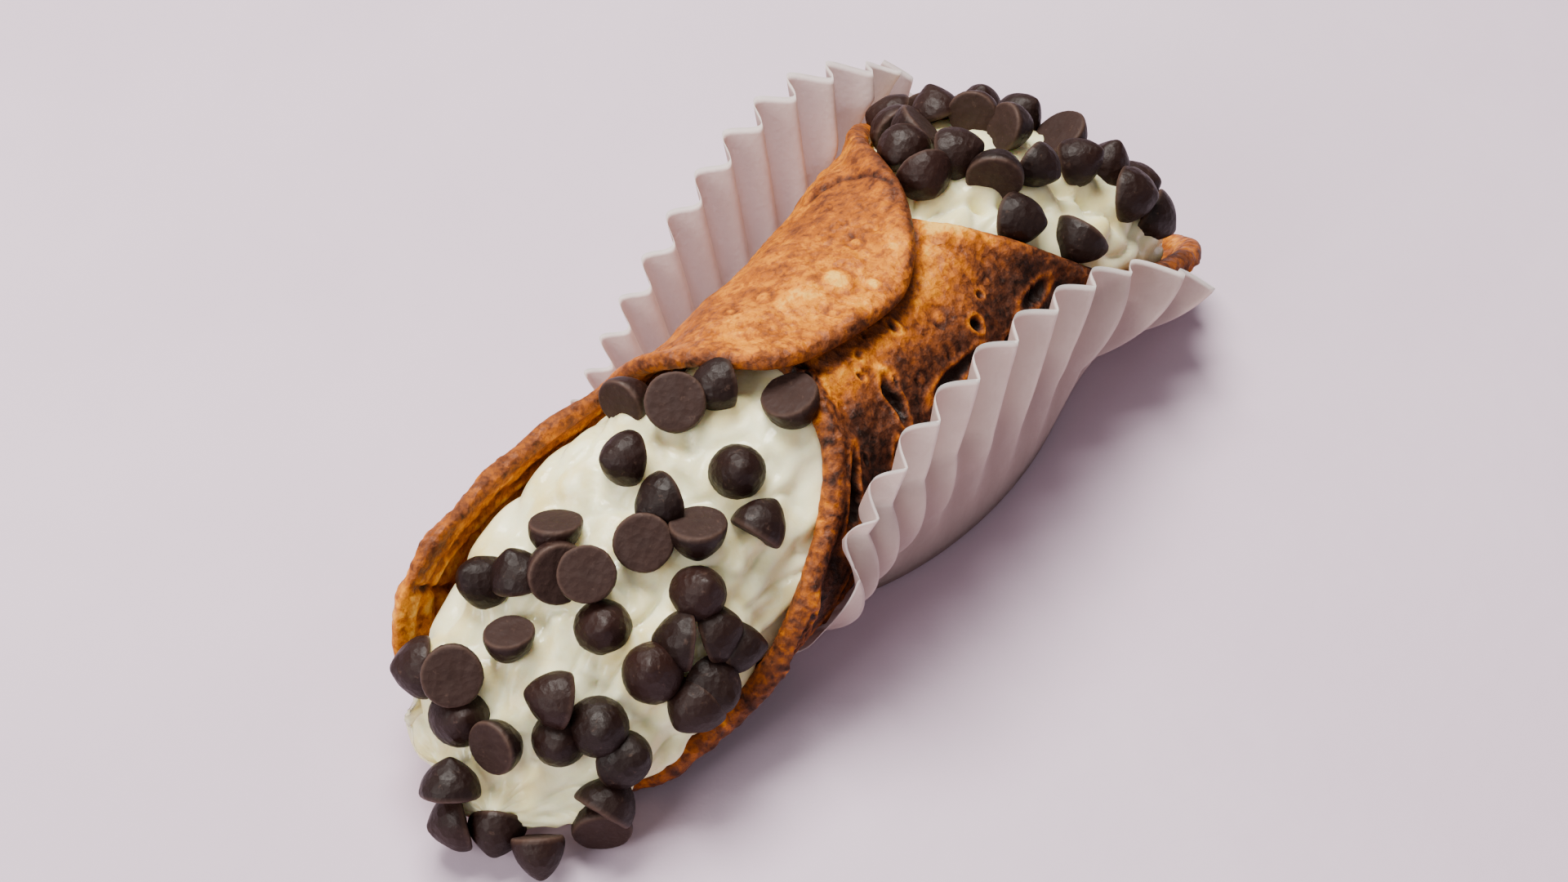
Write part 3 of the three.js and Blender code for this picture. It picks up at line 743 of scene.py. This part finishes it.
# %% [markdown]
# ## The paper case
# The case is a disc of thin paper, fluted in a press, and the pastry pushes it into a boat: flat
# below, close under both sides, its right wall upright and its left wall leaning out. It starts as a
# ball as well. The upper half becomes the inside of the paper and the lower half its underside,
# so the two skins meet at the rim, and the piece is closed.

# %% Measures of the case
CASE_X = 17
FLUTES = dict(left=19, right=15)  # of the two walls
FLUTE_DEPTH = 1.4
BASE_HALF = (31, 17)  # of the flat part below, along and across
RIM_HALF_X = 41.3
RIM_SHIFT_X = 5.1
HUG = 18.3  # radius of the bend under the pastry's sides
LEFT_WALL = dict(rise=12.2, climb=0.35, lean=0.78, drop=0.49, back_drop=0.34)
RIGHT_WALL = dict(rise=14.8, climb=-1.03, lean=0.06, drop=0.62, back_drop=0.2)
BASE_SHARE = 0.36
END_TUCK = 0.25
PAPER_GAP = 0.6
CAD_PAPER = 0.35
PAPER = 0.14  # about as thin as the render can still light from behind


def rim_point(angle):
    """Where the paper's edge is: the paper goes round under the pastry's side, and then up."""
    cos, sin = np.cos(angle), np.sin(angle)
    of = {key: np.where(sin > 0, LEFT_WALL[key], RIGHT_WALL[key]) for key in LEFT_WALL}
    quarter = HUG * math.pi / 2
    off = np.abs(sin)
    share = off ** (of["drop"] + of["back_drop"] * cos)
    reach = (quarter + of["rise"] * (1 + of["climb"] * cos)) * share * np.sqrt(np.minimum(1, off / END_TUCK))
    rise = np.maximum(0, reach - quarter)
    bend = np.minimum(reach, quarter) / HUG
    y = np.sign(sin) * (HUG * np.sin(bend) + of["lean"] * rise)
    return np.stack([CASE_X + RIM_SHIFT_X + RIM_HALF_X * cos, y, AXIS_Z - HUG * np.cos(bend) + rise], axis=-1)


def flute_angle(flute):
    """The direction of a place that is counted in flutes round the case, from its back end."""
    past = flute - FLUTES["left"]
    return math.pi * np.where(past < 0, flute / FLUTES["left"], 1 + past / FLUTES["right"])


def on_paper(angle, out, lift, wave):
    """A place on the paper: wave is -1 in a flute's valley and 1 on its crest."""
    foot = np.stack([CASE_X + BASE_HALF[0] * np.cos(angle), BASE_HALF[1] * np.sin(angle), 0 * angle], axis=-1)
    inner = np.minimum(out / BASE_SHARE, 1)[:, None]
    base = np.array([CASE_X, 0, 0]) + (foot - np.array([CASE_X, 0, 0])) * inner
    up = np.maximum(0, (out - BASE_SHARE) / (1 - BASE_SHARE))
    point = foot + (rim_point(angle) - foot) * up[:, None]
    depth = FLUTE_DEPTH * smooth(up, 0, 1) * smooth(point[:, 2], 0.5, 7)
    wide = widening(point[:, 0], point[:, 1])
    y, z = point[:, 1] / wide, point[:, 2] - AXIS_Z
    clear = OUTSIDE + lap_at(point[:, 0], np.degrees(np.arctan2(-y, z)) % 360) + PAPER_GAP + CAD_PAPER + depth
    length = np.maximum(np.hypot(y, z), 1e-6)
    push = np.where((length < clear) & (point[:, 2] > 0.5), clear / length, 1)
    y, z = y * push, z * push
    away = np.stack([y, np.minimum(z, 0)], axis=-1)
    away = away / np.maximum(np.linalg.norm(away, axis=1), 1e-6)[:, None]
    out_by = depth * wave - (lift - CAD_PAPER / 2) * smooth(up, 0, 0.15)
    y, z = y + away[:, 0] * out_by, z + away[:, 1] * out_by
    walls = np.stack([point[:, 0], y * wide, np.maximum(z + AXIS_Z, lift)], axis=-1)
    base[:, 2] = lift
    return np.where((out <= BASE_SHARE)[:, None], base, walls)


# %% [markdown]
# ## Pressing the flutes
# Pressed flutes are not even waves: the folds on one face are sharp and the lobes between them are
# round. The right wall still stands as it was pressed, with its sharp folds outside. The left wall
# has been pulled open by the pastry, and has eased into an even wave. A soft crumple runs through
# both.

# %% Make the case
ROUNDNESS = dict(left=2.0, right=1.15)  # 1 gives a sharp fold between round lobes, and 2 an even wave
CASE_AROUND = 20 * sum(FLUTES.values())
CASE_RINGS = 84
CRUMPLE = 0.35

case = start_piece(
    "fluted_paper_case", bpy.ops.mesh.primitive_uv_sphere_add, segments=CASE_AROUND, ring_count=CASE_RINGS,
)
ball = points_of(case) * MM
flute = (np.arctan2(ball[:, 1], ball[:, 0]) / math.tau % 1) * sum(FLUTES.values())
angle = flute_angle(flute)
pole = np.arccos(np.clip(ball[:, 2], -1, 1)) / (math.pi / 2)
upper = pole <= 1
out = np.where(upper, pole, 2 - pole) ** 0.8
phase = math.tau * flute - math.pi / 2
lobes_in = 1 - 2 * np.abs(np.sin(phase / 2)) ** ROUNDNESS["right"]
lobes_out = 2 * np.abs(np.cos(phase / 2)) ** ROUNDNESS["left"] - 1
wave = mix(lobes_in, lobes_out, smooth(np.sin(angle), -0.2, 0.2))
lift = np.where(upper, PAPER, 0) * np.where(np.abs(pole - 1) < 0.001, 0.5, 1)
paper_points = on_paper(angle, out, lift, wave)
crumple = CRUMPLE * unevenness(paper_points, (9, 9, 12), 6.4) * smooth(paper_points[:, 2], 3, 12)
paper_points[:, 1] += crumple * np.sign(paper_points[:, 1])
move_points(case, paper_points)
seen_from = np.where(np.sin(angle) > 0, -1, 1)  # the left wall shows its inside, where a crest is a valley
# painted shade: the valleys on the face that shows are painted darker than the crests
paint(case, "valley", 0.5 - 0.5 * wave * seen_from * smooth(out, BASE_SHARE, 0.7))
# painted highlight: a thin pale line along the paper's edge
paint(case, "rim", smooth(out, 0.988, 0.998))
hand_over(case, "paper_case")

# %% [markdown]
# ## Finishes
# Each finish is a Principled shader with its colours and roughness worked out by nodes. Three
# effects are used again and again, so each is a group that is built once: blotches, a soft mask,
# grit, a height for the bump of a fine-grained surface, and threads, thin curved lines.

# %% Helpers for materials
def colour(red, green, blue):
    """A colour as it looks on a screen, from 0 to 255, as the light values that a shader takes."""
    return tuple((value / 255) ** 2.2 for value in (red, green, blue)) + (1,)


def plug(tree, node, links):
    """Links each input of a node to a socket, or sets its plain value."""
    for socket, source in links:
        if isinstance(source, bpy.types.NodeSocket):
            tree.links.new(source, node.inputs[socket])
        else:
            node.inputs[socket].default_value = source


def add(tree, kind, links=(), **settings):
    """Adds a node. links gives (input, output socket or value), and is set after the settings."""
    node = tree.nodes.new(kind)
    for setting, value in settings.items():
        setattr(node, setting, value)
    plug(tree, node, links)
    return node


def new_group(name, output, numbers):
    """A node group that takes coordinates and the named numbers, and puts out one value."""
    group = bpy.data.node_groups.new(name, "ShaderNodeTree")
    group.interface.new_socket("Coordinates", in_out="INPUT", socket_type="NodeSocketVector")
    for number_name, value in numbers.items():
        socket = group.interface.new_socket(number_name, in_out="INPUT", socket_type="NodeSocketFloat")
        socket.default_value = value
    group.interface.new_socket(output, in_out="OUTPUT", socket_type="NodeSocketFloat")
    return group, group.nodes.new("NodeGroupInput").outputs, group.nodes.new("NodeGroupOutput").inputs


def cloud_in(group, given, detail, roughness, distortion=0.0):
    """Soft noise at the coordinates and scale that the group is given."""
    return add(group, "ShaderNodeTexNoise", [
        ("Vector", given["Coordinates"]), ("Scale", given["Scale"]),
        ("Detail", detail), ("Roughness", roughness), ("Distortion", distortion),
    ]).outputs["Fac"]


# %% The blotches, grit and threads groups
blotches, given, result = new_group("blotches", "Mask", dict(Scale=200.0, Low=0.4, High=0.6))
spread = add(blotches, "ShaderNodeMapRange", [
    ("Value", cloud_in(blotches, given, 5.0, 0.6, 0.4)),
    ("From Min", given["Low"]), ("From Max", given["High"]),
], interpolation_type="SMOOTHSTEP")
blotches.links.new(spread.outputs["Result"], result["Mask"])

grit, given, result = new_group("grit", "Height", dict(Scale=1200.0))
grain = add(grit, "ShaderNodeTexVoronoi", [
    ("Vector", given["Coordinates"]), ("Scale", given["Scale"]),
], feature="F1")
both = add(grit, "ShaderNodeMath", [
    (0, cloud_in(grit, given, 4.0, 0.65)), (1, grain.outputs["Distance"]),
], operation="ADD")
grit.links.new(both.outputs["Value"], result["Height"])

threads, given, result = new_group("threads", "Mask", dict(Scale=300.0, Width=0.04))
centred = add(threads, "ShaderNodeMath", [
    (0, cloud_in(threads, given, 2.0, 0.5, 1.2)), (1, 0.5),
], operation="SUBTRACT")
folded = add(threads, "ShaderNodeMath", [(0, centred.outputs["Value"])], operation="ABSOLUTE")
thin = add(threads, "ShaderNodeMapRange", [
    ("Value", folded.outputs["Value"]), ("From Max", given["Width"]), ("To Min", 1.0), ("To Max", 0.0),
])
threads.links.new(thin.outputs["Result"], result["Mask"])


def new_material(name, piece):
    """An empty material on the piece, with its shader and its place to read patterns from."""
    material = bpy.data.materials.new(name)
    material.use_nodes = True
    piece.data.materials.clear()
    piece.data.materials.append(material)
    tree = material.node_tree
    return tree, tree.nodes["Principled BSDF"], add(tree, "ShaderNodeTexCoord").outputs["Object"]


def stretched(tree, place, scale):
    return add(tree, "ShaderNodeMapping", [("Vector", place), ("Scale", scale)]).outputs["Vector"]


def grouped(tree, group, links):
    """A copy of one of the groups above, with its inputs set or linked. Gives its only output."""
    return add(tree, "ShaderNodeGroup", links, node_tree=group).outputs[0]


def blotch(tree, place, scale, low, high):
    return grouped(tree, blotches, [("Coordinates", place), ("Scale", scale), ("Low", low), ("High", high)])


def thread(tree, place, scale, width):
    return grouped(tree, threads, [("Coordinates", place), ("Scale", scale), ("Width", width)])


def read(tree, name):
    """What was painted on the points under this name."""
    return add(tree, "ShaderNodeAttribute", attribute_name=name).outputs["Fac"]


def maths(tree, operation, first, second):
    return add(tree, "ShaderNodeMath", [(0, first), (1, second)], operation=operation).outputs[0]


def part_of(tree, mask, share):
    return maths(tree, "MULTIPLY", mask, share)


def between(tree, mask, low, high):
    links = [("Value", mask), ("To Min", low), ("To Max", high)]
    return add(tree, "ShaderNodeMapRange", links).outputs["Result"]


def blend_colours(tree, share, first, second):
    links = [(0, share), (6, first), (7, second)]
    return add(tree, "ShaderNodeMix", links, data_type="RGBA").outputs[2]


def ramp(tree, share, stops):
    node = add(tree, "ShaderNodeValToRGB", [("Fac", share)])
    while len(node.color_ramp.elements) < len(stops):
        node.color_ramp.elements.new(0.5)
    for element, (position, tint) in zip(node.color_ramp.elements, stops):
        element.position, element.color = position, tint
    return node.outputs["Color"]


def gritty(tree, place, scale, strength, distance):
    """The bump of a fine-grained surface."""
    height = grouped(tree, grit, [("Coordinates", place), ("Scale", scale)])
    links = [("Height", height), ("Strength", strength), ("Distance", distance)]
    return add(tree, "ShaderNodeBump", links).outputs["Normal"]


# %% [markdown]
# ## Fried dough
# The colour of a crust is how far it is toasted, so one ramp holds every shade from pale gold to
# burnt, and everything else only moves a point along it: the painted areas, blotches that are
# drawn out about the tube, brown threads, fine speckles, dark pocks and their pale lips. Fried dough
# is matte with a slight film of oil.

# %% Finish the shell
MARKS_TAKE = 0.29  # the marks darken the crust by about this much all over
tree, shader, place = new_material("fried_dough", shell)
drawn = stretched(tree, place, (1.5, 0.8, 0.8))
marks = [  # each mask, and how far it moves a point along the ramp
    (blotch(tree, drawn, 170, 0.34, 0.68), 0.12),
    (blotch(tree, place, 480, 0.36, 0.66), 0.15),
    (blotch(tree, place, 1150, 0.44, 0.68), 0.17),
    (thread(tree, drawn, 210, 0.03), 0.07),
    (thread(tree, place, 420, 0.04), 0.06),
    (read(tree, "veins"), 0.05),
    (read(tree, "lips"), -0.42),
    (read(tree, "pock_inside"), 0.4),
]
toast_share = maths(tree, "SUBTRACT", read(tree, "toast"), MARKS_TAKE)
for mask, strength in marks:
    toast_share = maths(tree, "ADD", toast_share, part_of(tree, mask, strength))
crust = ramp(tree, toast_share, [
    (0.0, colour(236, 178, 78)),
    (0.2, colour(214, 130, 12)),
    (0.4, colour(164, 88, 21)),
    (0.6, colour(113, 62, 33)),
    (0.8, colour(72, 41, 28)),
    (1.0, colour(32, 18, 12)),
])
plug(tree, shader, [
    ("Base Color", crust),
    ("Roughness", between(tree, blotch(tree, place, 420, 0.35, 0.65), 0.42, 0.7)),
    ("Specular IOR Level", 0.17),
    ("Normal", gritty(tree, place, 900, 0.75, 0.0004)),
])

# %% [markdown]
# ## Cream, chocolate and paper
# Light goes some way into cream before it comes out again, so the cream scatters it below its
# surface, and its folds are painted a little darker and yellower, as shade. Chocolate is satin on the
# drop's dome, where it cooled in the air, and duller and greyer on the underside that lay on the belt,
# with a painted highlight and some dust along that underside's rim. The paper is greased and thin, so
# light spreads in it, its valleys are painted darker than its crests, as shade, and its edge carries a
# painted highlight.

# %% Finish the cream
tree, shader, place = new_material("sweet_ricotta", cream)
shaded_folds = maths(tree, "MULTIPLY", read(tree, "fold_shade"), blotch(tree, place, 260, 0.3, 0.6))
plug(tree, shader, [
    # painted shade: the sunken folds blend towards a darker yellow
    ("Base Color", blend_colours(tree, shaded_folds, colour(254, 248, 204), colour(238, 216, 138))),
    ("Subsurface Weight", 0.35),
    ("Subsurface Radius", (1.0, 0.75, 0.4)),
    ("Subsurface Scale", 0.0024),
    ("Roughness", between(tree, blotch(tree, place, 330, 0.4, 0.62), 0.15, 0.4)),
    ("Specular IOR Level", 0.4),
    ("Normal", gritty(tree, place, 380, 0.26, 0.0004)),
])

# %% Finish the chocolate
tree, shader, place = new_material("dark_chocolate", chips)
tone = blend_colours(tree, read(tree, "shade"), colour(30, 18, 15), colour(42, 25, 21))
layers_on_top = [  # each mask, how much of it shows, and its colour
    (read(tree, "underside"), 0.85, colour(53, 37, 33)),
    # painted highlight with some dust along the underside's rim
    (read(tree, "edge"), 0.5, colour(96, 74, 64)),
    (read(tree, "mark"), 0.3, colour(36, 22, 18)),
    (blotch(tree, place, 1300, 0.6, 0.74), 0.32, colour(98, 76, 66)),
]
for mask, share, tint in layers_on_top:
    tone = blend_colours(tree, part_of(tree, mask, share), tone, tint)
dull = part_of(tree, read(tree, "underside"), 0.24)
satin = part_of(tree, blotch(tree, place, 500, 0.35, 0.65), 0.14)
plug(tree, shader, [
    ("Base Color", tone),
    ("Roughness", maths(tree, "ADD", maths(tree, "ADD", dull, satin), 0.44)),
    ("Specular IOR Level", 0.24),
    ("Normal", gritty(tree, place, 1100, 0.4, 0.0003)),
])

# %% Finish the paper
tree, shader, place = new_material("greaseproof_paper", case)
fibres = blotch(tree, stretched(tree, place, (1, 1, 0.5)), 520, 0.35, 0.65)
# painted shade: a darker colour in the flutes' valleys
shaded = blend_colours(tree, read(tree, "valley"), colour(194, 168, 161), colour(158, 132, 125))
flecked = blend_colours(tree, part_of(tree, fibres, 0.25), shaded, colour(166, 141, 134))
plug(tree, shader, [
    # painted highlight along the paper's edge
    ("Base Color", blend_colours(tree, read(tree, "rim"), flecked, colour(222, 202, 197))),
    ("Roughness", between(tree, fibres, 0.62, 0.8)),
    ("Specular IOR Level", 0.25),
    ("Subsurface Weight", 0.45),
    ("Subsurface Radius", (1.0, 0.85, 0.8)),
    ("Subsurface Scale", 0.0015),
    ("Normal", gritty(tree, place, 1500, 0.2, 0.0002)),
])

# %% [markdown]
# ## The stage
# A pale lilac-white surface and large soft lights, as on a table in a food studio. The key light
# hangs high over the pastry's left side, so that the drops get a broad highlight, the folds of the
# cream a soft shadow, and the right side and its paper stay dark. A lower one stands before the
# front mouth, and a weak one beside the camera opens the shadows a little.

# %% Floor and lights
floor = start_piece("floor", bpy.ops.mesh.primitive_plane_add, size=2)
tree, shader, place = new_material("pale_table", floor)
uneven = blotch(tree, place, 9, 0.3, 0.7)
plug(tree, shader, [
    ("Base Color", blend_colours(tree, uneven, colour(214, 194, 212), colour(206, 185, 204))),
    ("Roughness", 0.75),
    ("Normal", gritty(tree, place, 260, 0.1, 0.0006)),
])


def soft_light(name, azimuth, elevation, away, size, watts, tint):
    """A square light that looks at the pastry. Azimuth 0 is on its right, 90 beyond its back mouth."""
    turn, rise = math.radians(azimuth), math.radians(elevation)
    back = Vector((math.sin(turn) * math.cos(rise), -math.cos(turn) * math.cos(rise), math.sin(rise)))
    data = bpy.data.lights.new(name, "AREA")
    data.energy, data.size, data.color = watts, size, tint
    light = bpy.data.objects.new(name, data)
    light.location = back * away
    light.rotation_euler = back.to_track_quat("Z", "Y").to_euler()
    bpy.context.collection.objects.link(light)


soft_light("key", 152, 70, 0.7, 0.36, 11.2, (1.0, 0.97, 0.91))
soft_light("fill", -42, 40, 0.8, 0.6, 0.8, (1.0, 0.95, 0.94))
soft_light("side", -102, 33, 0.8, 0.4, 5.2, (1.0, 0.96, 0.92))
world = bpy.data.worlds.new("soft_room")
bpy.context.scene.world = world
world.use_nodes = True
tree = world.node_tree
plug(tree, tree.nodes["Background"], [("Color", (0.86, 0.82, 0.88, 1)), ("Strength", 0.18)])

# %% [markdown]
# ## The camera
# It looks down on the front mouth from the pastry's right, from the height of someone seated at the
# table. A long lens fills the picture with the pastry.

# %% Camera
CAMERA_PLACE = Vector((-225.5, -160.9, 324.7)) * MM
CAMERA_LENS = 82
AIM = Vector((-1.0, 2.5, 14.0)) * MM

camera_data = bpy.data.cameras.new("camera")
camera_data.lens = CAMERA_LENS
camera = bpy.data.objects.new("camera", camera_data)
camera.location = CAMERA_PLACE
camera.rotation_euler = (CAMERA_PLACE - AIM).to_track_quat("Z", "Y").to_euler()
bpy.context.collection.objects.link(camera)
bpy.context.scene.camera = camera
